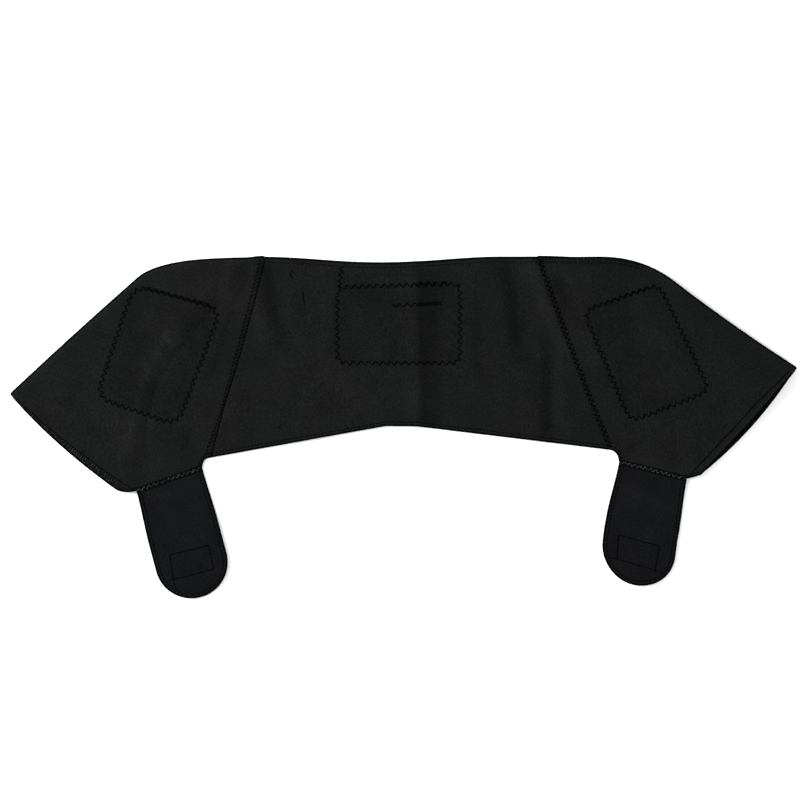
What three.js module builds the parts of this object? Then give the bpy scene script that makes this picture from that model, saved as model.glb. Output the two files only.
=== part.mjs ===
// A neoprene brace for both shoulders, lying flat with its outer face up: a back panel, two shoulder caps
// that fold under along their shoulder line, and two straps with a hook patch that pass under the arms.
// Millimetres, +Z up, standing on Z = 0.
import * as THREE from "three";

// Sizes of the brace as it lies.
const span = 824; // tip of one shoulder cap to the tip of the other
const neckWidth = 289; // back panel along its neck edge, from seam to seam
const footWidth = 424; // back panel along its lower edge, from seam to seam
const backHeight = 178; // neck line down to the peak of the lower edge
const neckDip = 6; // hollow of the neck edge
const capDrop = 247; // neck line down to the underarm corner of a shoulder cap
const shoulderOut = 279; // middle of the brace to where the shoulder line turns straight
const shoulderFall = 23; // neck line down to that place
const seamBow = 2; // how far the back seams curve towards the middle
const cornerRadius = 11; // inside corner between the back panel and a strap
const underarm = 20; // strap to the end of the arm hem
const strapSeam = 73; // strap where it is sewn to the cap
const strapWidth = 78;
const strapLength = 128;
const padLength = 126; // warming pads, all three of one size
const padWidth = 84;
const padCorner = 14;
const hookLength = 48;
const hookWidth = 31;
const hookCorner = 2;

// Thicknesses and heights.
const sheet = 3; // neoprene between two faces of jersey
const strapSheet = 2.5;
const padSheet = 1.5;
const hookSheet = 1.8;
const sleeveGap = 12; // open height inside the fold of a cap
const underarmGap = 3; // the same at the underarm corner
const joint = 0.5; // clearance between pieces that are sewn edge to edge
const seat = 0.9; // clearance between a sheet and a patch sewn to it
const padSeat = 1.7; // the same where both of them curve
const rim = 1.6; // width of the rounded edge of a sheet
const drape = 42; // length over which a sheet comes down from what lies under it
const patchDrape = 14; // the same beside a patch
const patchMargin = 11; // a sheet stays up this far past a patch

// The two halves don't lie alike. Each column is a share of the size named in its note.
const sides = [
  {
    name: "left",
    out: -1,
    head: 0.51, // neckWidth, middle to the top of the seam
    foot: 0.486, // footWidth, middle to the foot of the seam
    footDrop: 0.857, // capDrop
    roundOut: 0.71, // shoulderOut, where the neck edge starts to round over
    roundDrop: 0.1, // shoulderFall
    foldSag: -0.05, // underarm, how far the shoulder line sags
    tipDrop: 0.583, // capDrop
    cornerOut: 0.48, // cornerRadius
    cornerDown: 0.91, // cornerRadius
    armOut: 1.05, // underarm
    armUp: 0.08, // underarm
    belly: 0.2, // underarm, how far the edge sags between the strap and the arm hem
    hemBow: 0.22, // underarm, how far the arm hem curves out
    peek: 0, // underarm, how far the lower layer shows past the arm hem
    rollStart: 0.14, // shoulder line, length over which the neck edge rolls under
    seamTurn: 19.5, // degrees, strap seam against the neck line
    strapTurn: 15, // degrees, strap against the middle line
    strapLong: 1, // strapLength
    strapWide: 0.98, // strapWidth
    tipBend: 0, // strapWidth, how far the end of the strap bends out
    padOut: 0.3155, // span
    padDrop: 0.414, // capDrop
    padTurn: 20, // degrees
    hookBack: 0.665, // strapLength, strap seam to the middle of the hook patch
  },
  {
    name: "right",
    out: 1,
    head: 0.49,
    foot: 0.514,
    footDrop: 0.822,
    roundOut: 0.74,
    roundDrop: 0.02,
    foldSag: 0.11,
    tipDrop: 0.472,
    cornerOut: 0.76,
    cornerDown: 1.15,
    armOut: 0.72,
    armUp: 0.2,
    belly: 0,
    hemBow: 0.1,
    peek: 0.22,
    rollStart: 0.3,
    seamTurn: 13.8,
    strapTurn: 11,
    strapLong: 0.958,
    strapWide: 1,
    tipBend: 0.05,
    padOut: 0.3123,
    padDrop: 0.402,
    padTurn: 24,
    hookBack: 0.69,
  },
];

// Folds and hollows of the back panel. at, top and foot are shares of its width and height.
const backFolds = [
  { at: 0.13, drift: 0, wide: 13, high: 2.2, top: -0.1, foot: 0.55 },
  { at: 0.2, drift: 0.05, wide: 26, high: 2.6, top: 0.1, foot: 1.2 },
  { at: 0.545, drift: -0.02, wide: 9, high: 2.4, top: -0.3, foot: 1.4 },
  { at: 0.47, drift: 0, wide: 34, high: 1.6, top: -0.3, foot: 1.4 },
  { at: 0.8, drift: -0.02, wide: 20, high: 2.4, top: -0.2, foot: 0.7 },
  { at: 0.87, drift: -0.1, wide: 12, high: 2.8, top: -0.1, foot: 0.75 },
  { at: 0.83, drift: 0, wide: 12, high: 2.2, top: 0.45, foot: 1.3 },
];
// Soft swellings of a shoulder cap. along and up are shares of its shoulder line and of its depth.
const capSwells = [
  { along: 0.3, up: 0.62, wideAlong: 0.13, wideUp: 0.3, high: 1.4 },
  { along: 0.62, up: 0.35, wideAlong: 0.16, wideUp: 0.22, high: 1.2 },
  { along: 0.8, up: 0.7, wideAlong: 0.14, wideUp: 0.25, high: 1 },
];

// How finely the pieces are divided.
const backColumns = 30;
const backRows = 10;
const capRows = 24;
const upperSteps = 15;
const rollSteps = 6;
const flapSteps = 8;
const strapRows = 20;
const strapColumns = 6;
const padRows = 14;
const padColumns = 10;

const jersey = new THREE.MeshStandardMaterial({ color: 0x1b1c1d, roughness: 0.9 });
const strapJersey = new THREE.MeshStandardMaterial({ color: 0x18191b, roughness: 0.85 });
const padCloth = new THREE.MeshStandardMaterial({ color: 0x2a2724, roughness: 0.95 });
const hookTape = new THREE.MeshStandardMaterial({ color: 0x111112, roughness: 0.6 });

const radians = THREE.MathUtils.degToRad;
const lerp = THREE.MathUtils.lerp;
const ease = (share) => THREE.MathUtils.smoothstep(share, 0, 1);
const hump = (share) => 4 * share * (1 - share);
const bell = (offset) => Math.exp(-offset * offset);
const point = (x, y) => new THREE.Vector2(x, y);

// Shares from 0 to 1 with one more beside each rounded edge.
function steps(count, length, startRim, endRim) {
  const edge = Math.min(rim / length, 0.4 / count);
  const shares = Array.from({ length: count + 1 }, (_, i) => i / count);
  if (startRim) shares.splice(1, 0, edge);
  if (endRim) shares.splice(shares.length - 1, 0, 1 - edge);
  return shares;
}

// Share of the full thickness at a distance from a rounded edge.
const rounding = (distance) => lerp(0.4, 1, Math.min(distance / rim, 1));

// Closes a sheet between two equal grids of points.
function shell(name, upper, lower, material) {
  const columns = upper[0].length;
  const count = upper.length * columns;
  const last = upper.length - 1;
  const points = [...upper.flat(), ...lower.flat()];
  const index = [];
  const quad = (a, b, c, d) => index.push(a, b, c, a, c, d);
  for (let r = 0; r < last; r++) {
    for (let c = 0; c < columns - 1; c++) {
      const a = r * columns + c;
      quad(a, a + 1, a + columns + 1, a + columns);
      quad(count + a, count + a + columns, count + a + columns + 1, count + a + 1);
    }
  }
  for (let c = 0; c < columns - 1; c++) {
    const far = last * columns + c;
    quad(c, count + c, count + c + 1, c + 1);
    quad(far, far + 1, count + far + 1, count + far);
  }
  for (let r = 0; r < last; r++) {
    const a = r * columns;
    const b = a + columns - 1;
    quad(a, a + columns, count + a + columns, count + a);
    quad(b, count + b, count + b + columns, b + columns);
  }
  const volume = index.reduce((sum, _, i) => {
    if (i % 3) return sum;
    const [p, q, s] = [0, 1, 2].map((k) => points[index[i + k]]);
    return sum + p.dot(q.clone().cross(s));
  }, 0);
  if (volume < 0) index.reverse();
  const geometry = new THREE.BufferGeometry();
  const values = points.flatMap((p) => [p.x, p.y, Math.max(p.z, 0)]);
  geometry.setAttribute("position", new THREE.Float32BufferAttribute(values, 3));
  geometry.setIndex(index);
  geometry.computeVertexNormals();
  const mesh = new THREE.Mesh(geometry, material);
  mesh.name = name;
  return mesh;
}

// Where two lines cross, each through a point and another point.
function crossing(a, b, c, d) {
  const along = b.clone().sub(a);
  const other = d.clone().sub(c);
  const share = c.clone().sub(a).cross(other) / along.cross(other);
  return a.clone().addScaledVector(along, share);
}

// The named places of one half, in plan.
function places(side) {
  const at = (out, drop) => point(side.out * out, -drop);
  const head = at(neckWidth * side.head, 0);
  const foot = at(footWidth * side.foot, capDrop * side.footDrop);
  const round = at(shoulderOut * side.roundOut, shoulderFall * side.roundDrop);
  const shoulder = at(shoulderOut, shoulderFall);
  const tip = at(span / 2, capDrop * side.tipDrop);
  const corner = foot.clone().add(at(cornerRadius * side.cornerOut, cornerRadius * side.cornerDown));
  const turn = radians(side.seamTurn);
  const strap = corner.clone().add(at(strapSeam * Math.cos(turn), strapSeam * Math.sin(turn)));
  const arm = strap.clone().add(at(underarm * side.armOut, -underarm * side.armUp));
  return { head, foot, round, shoulder, tip, corner, strap, arm };
}

// The shoulder line and the lower edge of a cap, both from the back seam to the arm hem.
function capEdges(side) {
  const p = places(side);
  const clear = point((side.out * joint) / 2, 0);
  const head = p.head.clone().add(clear);
  const foot = p.foot.clone().add(clear);
  const fold = new THREE.CurvePath();
  fold.add(new THREE.LineCurve(head, p.round));
  fold.add(new THREE.QuadraticBezierCurve(p.round, crossing(head, p.round, p.tip, p.shoulder), p.shoulder));
  const sag = point(0, -2 * underarm * side.foldSag);
  fold.add(new THREE.QuadraticBezierCurve(p.shoulder, p.shoulder.clone().lerp(p.tip, 0.5).add(sag), p.tip));
  const lower = new THREE.CurvePath();
  lower.add(new THREE.QuadraticBezierCurve(foot, point(p.corner.x, lerp(foot.y, p.corner.y, 0.3)), p.corner));
  lower.add(new THREE.LineCurve(p.corner, p.strap));
  const belly = p.strap.clone().lerp(p.arm, 0.6).add(point(0, -underarm * side.belly));
  lower.add(new THREE.QuadraticBezierCurve(p.strap, belly, p.arm));
  return { fold, lower };
}

const flapRim = 1; // the least depth of the lower layer, and its distance from the underarm corner
const foldRadius = (sleeveGap + sheet) / 2; // middle of the sheet, in the fold
const outerRadius = foldRadius + sheet / 2;

// One section of a cap, from its lower edge up to the shoulder line: share 0 at the back seam, 1 at the arm hem.
function capSection(side, edges, share) {
  const foot = edges.lower.getPoint(share);
  const top = edges.fold.getPoint(share);
  const along = top.clone().sub(foot);
  const length = along.length();
  along.divideScalar(length);
  const aside = point(along.y, -along.x).multiplyScalar(side.out);
  const rolled = ease(share / side.rollStart);
  const angle = Math.PI * Math.max(rolled, 0.03);
  const flapShare = Math.max(share - side.rollStart, 0) / (1 - side.rollStart);
  const straight = length - outerRadius * Math.sin(Math.min(angle, Math.PI / 2));
  const flap = lerp(flapRim, straight - flapRim, flapShare);
  return { share, foot, along, aside, length, straight, angle, flap };
}

// Plan place on a section, at a distance from its lower edge.
function capPlan(side, section, distance, layer) {
  const up = THREE.MathUtils.clamp(distance / section.length, 0, 1);
  const hem = ease((section.share - 0.62) / 0.38) * underarm * (side.hemBow + layer * side.peek);
  const seam = -seamBow * (1 - ease(section.share / 0.5));
  return section.foot
    .clone()
    .addScaledVector(section.along, distance)
    .addScaledVector(section.aside, hump(up) * (hem + seam));
}

// How far outside a patch a plan place lies, 0 inside it.
function outside(patch, place) {
  const local = place.clone().sub(patch.centre).rotateAround(point(0, 0), -patch.turn);
  return Math.max(Math.abs(local.x) - patch.width / 2, Math.abs(local.y) - patch.length / 2, 0);
}

// Height to which a patch under a sheet lifts it.
function patchLift(patch, place) {
  return (patch.sheet + seat) * (1 - ease((outside(patch, place) - patchMargin) / patchDrape));
}

function capPad(side) {
  return {
    centre: point(side.out * span * side.padOut, -capDrop * side.padDrop),
    turn: side.out * radians(side.padTurn),
    width: padWidth,
    length: padLength,
    corner: padCorner,
    sheet: padSheet,
  };
}

// Height of the underside of a cap's upper layer.
function capLift(side, section, distance, place) {
  const up = THREE.MathUtils.clamp(distance / section.straight, 0, 1);
  const gap = lerp(underarmGap, sleeveGap, ease(up));
  const flapEnd = section.straight - section.flap - patchMargin;
  const over = ease((distance - flapEnd + drape) / drape);
  const opened = (1 - Math.cos(section.angle)) / 2;
  const swell = capSwells.reduce((sum, row) => {
    const along = bell((section.share - row.along) / row.wideAlong);
    return sum + row.high * along * bell((up - row.up) / row.wideUp);
  }, 0);
  const free = ease(section.share / 0.15) * ease((section.straight - distance) / drape);
  const lift = opened * (sheet + gap) * over + swell * free * ease(distance / drape);
  return Math.max(lift, patchLift(capPad(side), place) * ease((section.straight - distance) / rim));
}

// Shares and distance on a cap of a plan place, found by halving.
function locate(side, edges, place) {
  let low = 0;
  let high = 1;
  for (let k = 0; k < 30; k++) {
    const middle = (low + high) / 2;
    const foot = edges.lower.getPoint(middle);
    const along = edges.fold.getPoint(middle).sub(foot);
    if (along.cross(place.clone().sub(foot)) * side.out < 0) low = middle;
    else high = middle;
  }
  const section = capSection(side, edges, low);
  return { section, distance: place.clone().sub(section.foot).dot(section.along) };
}

function shoulderCap(side) {
  const edges = capEdges(side);
  const upper = [];
  const lower = [];
  for (const share of steps(capRows, edges.fold.getLength(), false, true)) {
    const section = capSection(side, edges, share);
    const hemRound = rounding((1 - share) * edges.fold.getLength());
    const outerRow = [];
    const innerRow = [];
    const add = (distance, height, layer, tilt, thick) => {
      const half = (sheet / 2) * thick;
      for (const [row, sign] of [[outerRow, 1], [innerRow, -1]]) {
        const place = capPlan(side, section, distance + sign * half * Math.sin(tilt), layer);
        row.push(new THREE.Vector3(place.x, place.y, height + sign * half * Math.cos(tilt)));
      }
    };
    for (const step of steps(upperSteps, section.straight, false, false)) {
      const distance = section.straight * step;
      const place = capPlan(side, section, distance, 0);
      add(distance, capLift(side, section, distance, place) + sheet / 2, 0, 0, hemRound);
    }
    const top = foldRadius * (1 - Math.cos(section.angle)) + sheet / 2;
    for (let k = 1; k <= rollSteps; k++) {
      const tilt = (section.angle * k) / rollSteps;
      const distance = section.straight + foldRadius * Math.sin(tilt);
      add(distance, top - foldRadius * (1 - Math.cos(tilt)), k / rollSteps, tilt, hemRound);
    }
    const turned = section.straight + foldRadius * Math.sin(section.angle);
    for (const step of steps(flapSteps, section.flap, false, true).slice(1)) {
      const thick = Math.min(hemRound, rounding(section.flap * (1 - step)));
      const distance = turned + section.flap * step * Math.cos(section.angle);
      add(distance, sheet / 2, 1, section.angle, thick);
    }
    upper.push(outerRow);
    lower.push(innerRow);
  }
  return shell(`${side.name}_shoulder_cap`, upper, lower, jersey);
}

// The neck edge and the lower edge of the back panel, at a share of the way from the left seam to the right one.
function backEdges() {
  const [left, right] = sides.map(places);
  const clear = point(joint / 2, 0);
  const peak = point(-neckWidth * 0.065, -backHeight);
  const bend = point(footWidth * 0.031, -backHeight * 1.0015);
  const neck = (share) => {
    const hollow = Math.cos((Math.PI / 2) * THREE.MathUtils.clamp((share - 0.43) / 0.45, -1, 1));
    return left.head.clone().add(clear).lerp(right.head.clone().sub(clear), share)
      .add(point(0, -neckDip * hollow * hollow));
  };
  const foot = new THREE.CurvePath();
  foot.add(new THREE.LineCurve(left.foot.clone().add(clear), peak));
  foot.add(new THREE.LineCurve(peak, bend));
  foot.add(new THREE.LineCurve(bend, right.foot.clone().sub(clear)));
  return { neck, foot };
}

const backPad = {
  centre: point(-neckWidth * 0.014, -backHeight * 0.4),
  turn: Math.PI / 2,
  width: padWidth,
  length: padLength,
  corner: padCorner,
  sheet: padSheet,
};

// Height of the underside of the back panel: share across it, down from its neck edge.
function backLift(share, down, place) {
  const free = ease(share / 0.09) * ease((1 - share) / 0.09);
  const folds = backFolds.reduce((sum, row) => {
    const offset = (share - row.at - row.drift * down) * footWidth;
    const reach = ease((down - row.top) / 0.3) * ease((row.foot - down) / 0.3);
    return sum + row.high * bell(offset / row.wide) * reach;
  }, 0);
  return folds * free + patchLift(backPad, place);
}

function backPanel() {
  const edges = backEdges();
  const upper = [];
  const lower = [];
  for (const share of steps(backColumns, footWidth, false, false)) {
    const neck = edges.neck(share);
    const foot = edges.foot.getPoint(share);
    const length = neck.distanceTo(foot);
    const bow = seamBow * ((1 - ease(share / 0.4)) - (1 - ease((1 - share) / 0.4)));
    const place = (down) => neck.clone().lerp(foot, down).add(point(bow * hump(down), 0));
    const row = steps(backRows, length, true, true).map((down) => {
      const plan = place(down);
      const half = (sheet / 2) * rounding(Math.min(down, 1 - down) * length);
      return { plan, half, middle: backLift(share, down, plan) + sheet / 2 };
    });
    upper.push(row.map((p) => new THREE.Vector3(p.plan.x, p.plan.y, p.middle + p.half)));
    lower.push(row.map((p) => new THREE.Vector3(p.plan.x, p.plan.y, p.middle - p.half)));
  }
  return shell("back_panel", upper, lower, jersey);
}

function hookPatch(side) {
  const { middle, down } = strapLine(side);
  return {
    centre: middle.clone().addScaledVector(down, strapLength * side.hookBack),
    turn: side.out * -radians(side.strapTurn) + Math.PI / 2,
    width: hookWidth,
    length: hookLength,
    corner: hookCorner,
    sheet: hookSheet,
  };
}

// The middle of the strap seam and the way the strap runs from it.
function strapLine(side) {
  const p = places(side);
  const turn = radians(side.strapTurn);
  return {
    middle: p.corner.clone().lerp(p.strap, 0.5),
    down: point(-side.out * Math.sin(turn), -Math.cos(turn)),
    seam: p.corner.clone().sub(p.strap).normalize(),
  };
}

function strap(side) {
  const { middle, down, seam } = strapLine(side);
  const edges = capEdges(side);
  const p = places(side);
  const patch = hookPatch(side);
  const length = strapLength * side.strapLong;
  const width = strapWidth * side.strapWide;
  const radius = width / 2;
  const straight = length - radius;
  const across = point(-down.y, down.x).multiplyScalar(-side.out);
  const upper = [];
  const lower = [];
  const straightRows = Math.round(strapRows * 0.55);
  const roundRows = strapRows - straightRows;
  const lastTurn = radians(86);
  for (let r = 0; r <= strapRows; r++) {
    const turn = lastTurn * Math.max((r - straightRows) / roundRows, 0);
    const distance = joint + (straight - joint) * Math.min(r / straightRows, 1) + radius * Math.sin(turn);
    const widen = ease(distance / (strapLength * 0.45));
    const half = lerp(strapSeam, width, widen) * 0.5 * Math.cos(turn);
    const way = seam.clone().lerp(across, widen).normalize();
    const bend = side.out * width * side.tipBend * ease((2 * distance) / length - 1);
    const centre = middle.clone().addScaledVector(down, distance).add(point(bend, 0));
    const row = steps(strapColumns, 2 * half, true, true).map((step) => {
      const plan = centre.clone().addScaledVector(way, half * (2 * step - 1));
      const edgeRound = Math.min(
        rounding(half * (1 - Math.abs(2 * step - 1))),
        rounding(distance < straight ? rim : radius * (1 - Math.sin(turn)) * 2),
      );
      const held = locate(side, edges, p.strap.clone().lerp(p.corner, step));
      const sewn = capLift(side, held.section, 0, held.section.foot);
      const lift = Math.max(sewn * (1 - ease(distance / drape)), patchLift(patch, plan));
      return { plan, bottom: lift, thick: strapSheet * edgeRound };
    });
    const inset = (q) => (strapSheet - q.thick) / 2;
    upper.push(row.map((q) => new THREE.Vector3(q.plan.x, q.plan.y, q.bottom + strapSheet - inset(q))));
    lower.push(row.map((q) => new THREE.Vector3(q.plan.x, q.plan.y, q.bottom + inset(q))));
  }
  return shell(`${side.name}_strap`, upper, lower, strapJersey);
}

// A patch with round corners. bottom gives the height of its underside.
function patchShell(name, patch, material, rowCount, columnCount, bottom) {
  const halfLength = patch.length / 2;
  const halfWidth = patch.width / 2;
  const upper = [];
  const lower = [];
  const turns = [0, 30, 60].map(radians);
  const ends = turns.map((turn) => halfLength - patch.corner * (1 - Math.sin(turn)));
  const inner = halfLength - patch.corner;
  const middleRows = Array.from({ length: rowCount - 1 }, (_, i) => inner * ((2 * (i + 1)) / rowCount - 1));
  const rows = [halfLength, ...ends.slice().reverse()].map((y) => -y).concat(middleRows, ends, [halfLength]);
  for (const y of rows) {
    const past = Math.max(Math.abs(y) - inner, 0);
    const half = halfWidth - patch.corner + Math.sqrt(Math.max(patch.corner ** 2 - past ** 2, 0));
    const row = steps(columnCount, 1, false, false).map((step) => {
      const plan = point(half * (2 * step - 1), y).rotateAround(point(0, 0), patch.turn).add(patch.centre);
      return new THREE.Vector3(plan.x, plan.y, bottom(plan));
    });
    upper.push(row.map((place) => place.clone().add(new THREE.Vector3(0, 0, patch.sheet))));
    lower.push(row);
  }
  return shell(name, upper, lower, material);
}

function shoulderPad(side) {
  const edges = capEdges(side);
  return patchShell(`${side.name}_shoulder_pad`, capPad(side), padCloth, padRows, padColumns, (plan) => {
    const { section, distance } = locate(side, edges, plan);
    return capLift(side, section, distance, plan) - padSeat - padSheet;
  });
}

const flatPatch = (name, patch, material) => patchShell(name, patch, material, 1, 1, () => 0);

const brace = new THREE.Group();
brace.add(backPanel());
brace.add(flatPatch("back_pad", backPad, padCloth));
for (const side of sides) {
  brace.add(shoulderCap(side));
  brace.add(shoulderPad(side));
  brace.add(strap(side));
  brace.add(flatPatch(`${side.name}_hook_patch`, hookPatch(side), hookTape));
}

// The origin is on the floor, under the middle of the brace.
const middle = new THREE.Box3().setFromObject(brace).getCenter(new THREE.Vector3());
brace.position.set(-middle.x, -middle.y, 0);

export default brace;
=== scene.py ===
# A neoprene brace for both shoulders, laid flat with its outer face up and seen from straight above.
import math
import bpy
import numpy as np
from mathutils.bvhtree import BVHTree
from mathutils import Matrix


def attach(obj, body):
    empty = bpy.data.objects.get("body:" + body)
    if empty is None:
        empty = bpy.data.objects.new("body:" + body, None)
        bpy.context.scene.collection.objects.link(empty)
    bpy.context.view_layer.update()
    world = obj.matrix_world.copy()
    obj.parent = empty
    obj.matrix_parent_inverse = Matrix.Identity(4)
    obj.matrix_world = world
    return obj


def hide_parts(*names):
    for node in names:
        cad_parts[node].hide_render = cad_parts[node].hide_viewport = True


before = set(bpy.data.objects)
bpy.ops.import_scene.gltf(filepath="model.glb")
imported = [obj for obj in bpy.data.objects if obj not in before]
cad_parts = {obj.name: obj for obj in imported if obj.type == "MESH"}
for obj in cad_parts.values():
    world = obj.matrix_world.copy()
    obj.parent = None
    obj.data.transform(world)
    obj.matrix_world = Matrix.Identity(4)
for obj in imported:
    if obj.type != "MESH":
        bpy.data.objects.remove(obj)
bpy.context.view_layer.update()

mm = 0.001

# Camera, straight above, with a long lens
cameraSettings = {"height": 3.2, "middle": (-0.0037, 0.0284), "frameWidth": 0.84}


def makeCamera(settings):
    data = bpy.data.cameras.new("camera")
    data.sensor_width = 36
    data.lens = 36 * settings["height"] / settings["frameWidth"]
    data.clip_end = 20
    camera = bpy.data.objects.new("camera", data)
    camera.location = (*settings["middle"], settings["height"])
    bpy.context.scene.collection.objects.link(camera)
    bpy.context.scene.camera = camera


makeCamera(cameraSettings)


# Small helpers for curves and shares
def ease(share):
    share = np.clip(share, 0, 1)
    return share * share * (3 - 2 * share)


def hump(share):
    return 4 * share * (1 - share)


def bell(offset):
    return np.exp(-offset * offset)


def lerp(a, b, share):
    return a + (b - a) * share


def xy(x, y):
    return np.array([x, y], float)


def turned(place, angle):
    c, s = math.cos(angle), math.sin(angle)
    return np.stack([place[..., 0] * c - place[..., 1] * s, place[..., 0] * s + place[..., 1] * c], -1)


def crossing(a, b, c, d):
    along, other, gap = b - a, d - c, c - a
    share = (gap[0] * other[1] - gap[1] * other[0]) / (along[0] * other[1] - along[1] * other[0])
    return a + along * share


def bezier(a, b, c, count=60):
    t = np.linspace(0, 1, count)[:, None]
    return a * (1 - t) ** 2 + 2 * b * t * (1 - t) + c * t * t


def makePath(*parts):
    points = np.vstack([parts[0]] + [part[1:] for part in parts[1:]])
    lengths = np.concatenate([[0], np.cumsum(np.linalg.norm(np.diff(points, axis=0), axis=1))])
    return {"points": points, "lengths": lengths, "length": lengths[-1]}


def onPath(path, share):
    at = np.asarray(share) * path["length"]
    return np.stack([np.interp(at, path["lengths"], path["points"][:, k]) for k in range(2)], -1)


# Sizes of the brace, in millimetres, the same as in the solid model
brace = {
    "span": 824, "neckWidth": 289, "footWidth": 424, "backHeight": 178, "neckDip": 6, "capDrop": 247,
    "shoulderOut": 279, "shoulderFall": 23, "seamBow": 2, "cornerRadius": 11, "underarm": 20,
    "strapSeam": 73, "strapWidth": 78, "strapLength": 128,
    "padLength": 126, "padWidth": 84, "padSheet": 1.5, "hookLength": 48, "hookWidth": 31, "hookSheet": 1.8,
    "sheet": 3, "strapSheet": 2.5, "sleeveGap": 12, "underarmGap": 3, "joint": 0.5, "seat": 0.9,
    "drape": 42, "patchDrape": 14, "patchMargin": 11, "flapRim": 1, "foldRim": 1.6,
}
sewnGap = 0.06  # the solids keep brace["joint"] between them, the cloth meets
sides = {
    "left": {
        "out": -1, "head": 0.51, "foot": 0.486, "footDrop": 0.857, "roundOut": 0.71, "roundDrop": 0.1,
        "foldSag": -0.05, "tipDrop": 0.583, "cornerOut": 0.48, "cornerDown": 0.91, "armOut": 1.05,
        "armUp": 0.08, "belly": 0.2, "hemBow": 0.22, "peek": 0, "rollStart": 0.14, "seamTurn": 19.5,
        "strapTurn": 15, "strapLong": 1, "strapWide": 0.98, "tipBend": 0, "padOut": 0.3155,
        "padDrop": 0.414, "padTurn": 20, "hookBack": 0.665,
    },
    "right": {
        "out": 1, "head": 0.49, "foot": 0.514, "footDrop": 0.822, "roundOut": 0.74, "roundDrop": 0.02,
        "foldSag": 0.11, "tipDrop": 0.472, "cornerOut": 0.76, "cornerDown": 1.15, "armOut": 0.72,
        "armUp": 0.2, "belly": 0, "hemBow": 0.1, "peek": 0.22, "rollStart": 0.3, "seamTurn": 13.8,
        "strapTurn": 11, "strapLong": 0.958, "strapWide": 1, "tipBend": 0.05, "padOut": 0.3123,
        "padDrop": 0.402, "padTurn": 24, "hookBack": 0.69,
    },
}
# The back panel's edges and the straps' round ends, as shares of its sizes and of theirs
backShape = {"peakOut": 0.065, "bendOut": 0.031, "bendDown": 1.0015, "dipAt": 0.43, "dipWide": 0.45,
             "padOut": 0.014, "padDrop": 0.4}
strapShape = {"widen": 0.45, "lastTurn": math.radians(87), "turnSteps": 1.6, "turnSpread": 0.85}
backFolds = [
    {"at": 0.13, "drift": 0, "wide": 13, "high": 2.2, "top": -0.1, "foot": 0.55},
    {"at": 0.2, "drift": 0.05, "wide": 26, "high": 2.6, "top": 0.1, "foot": 1.2},
    {"at": 0.545, "drift": -0.02, "wide": 9, "high": 2.4, "top": -0.3, "foot": 1.4},
    {"at": 0.47, "drift": 0, "wide": 34, "high": 1.6, "top": -0.3, "foot": 1.4},
    {"at": 0.8, "drift": -0.02, "wide": 20, "high": 2.4, "top": -0.2, "foot": 0.7},
    {"at": 0.87, "drift": -0.1, "wide": 12, "high": 2.8, "top": -0.1, "foot": 0.75},
    {"at": 0.83, "drift": 0, "wide": 12, "high": 2.2, "top": 0.45, "foot": 1.3},
]
capSwells = [
    {"along": 0.3, "up": 0.62, "wideAlong": 0.13, "wideUp": 0.3, "high": 1.4},
    {"along": 0.62, "up": 0.35, "wideAlong": 0.16, "wideUp": 0.22, "high": 1.2},
    {"along": 0.8, "up": 0.7, "wideAlong": 0.14, "wideUp": 0.25, "high": 1.0},
]
# Shares of a length over which the cloth changes, as in the solid model
changes = {"leastRoll": 0.03, "hemFrom": 0.62, "hem": 0.38, "capSeam": 0.5, "swell": 0.15, "fold": 0.3,
           "bow": 0.4, "sewn": 0.09}
foldRadius = (brace["sleeveGap"] + brace["sheet"]) / 2
outerRadius = foldRadius + brace["sheet"] / 2


def places(side):
    out, b = side["out"], brace
    head = xy(out * b["neckWidth"] * side["head"], 0)
    foot = xy(out * b["footWidth"] * side["foot"], -b["capDrop"] * side["footDrop"])
    rounded = xy(out * b["shoulderOut"] * side["roundOut"], -b["shoulderFall"] * side["roundDrop"])
    shoulder = xy(out * b["shoulderOut"], -b["shoulderFall"])
    tip = xy(out * b["span"] / 2, -b["capDrop"] * side["tipDrop"])
    corner = foot + xy(out * b["cornerRadius"] * side["cornerOut"], -b["cornerRadius"] * side["cornerDown"])
    turn = math.radians(side["seamTurn"])
    strap = corner + b["strapSeam"] * xy(out * math.cos(turn), -math.sin(turn))
    arm = strap + b["underarm"] * xy(out * side["armOut"], side["armUp"])
    return {"head": head, "foot": foot, "round": rounded, "shoulder": shoulder, "tip": tip,
            "corner": corner, "strap": strap, "arm": arm}


def capEdges(side):
    p = places(side)
    clear = xy(side["out"] * sewnGap / 2, 0)
    head, foot = p["head"] + clear, p["foot"] + clear
    sag = xy(0, -2 * brace["underarm"] * side["foldSag"])
    knee = crossing(head, p["round"], p["tip"], p["shoulder"])
    fold = makePath(np.array([head, p["round"]]), bezier(p["round"], knee, p["shoulder"]),
                    bezier(p["shoulder"], lerp(p["shoulder"], p["tip"], 0.5) + sag, p["tip"]))
    belly = lerp(p["strap"], p["arm"], 0.6) + xy(0, -brace["underarm"] * side["belly"])
    lower = makePath(bezier(foot, xy(p["corner"][0], lerp(foot[1], p["corner"][1], 0.3)), p["corner"]),
                     np.array([p["corner"], p["strap"]]), bezier(p["strap"], belly, p["arm"]))
    return {"fold": fold, "lower": lower}


def capSection(side, edges, share):
    foot, top = onPath(edges["lower"], share), onPath(edges["fold"], share)
    length = float(np.linalg.norm(top - foot))
    along = (top - foot) / length
    aside = xy(along[1], -along[0]) * side["out"]
    angle = math.pi * max(float(ease(share / side["rollStart"])), changes["leastRoll"])
    straight = length - outerRadius * math.sin(min(angle, math.pi / 2))
    flapShare = max(share - side["rollStart"], 0) / (1 - side["rollStart"])
    flap = lerp(brace["flapRim"], straight - brace["flapRim"], flapShare)
    return {"share": share, "foot": foot, "along": along, "aside": aside, "length": length,
            "straight": straight, "angle": angle, "flap": flap}


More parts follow.
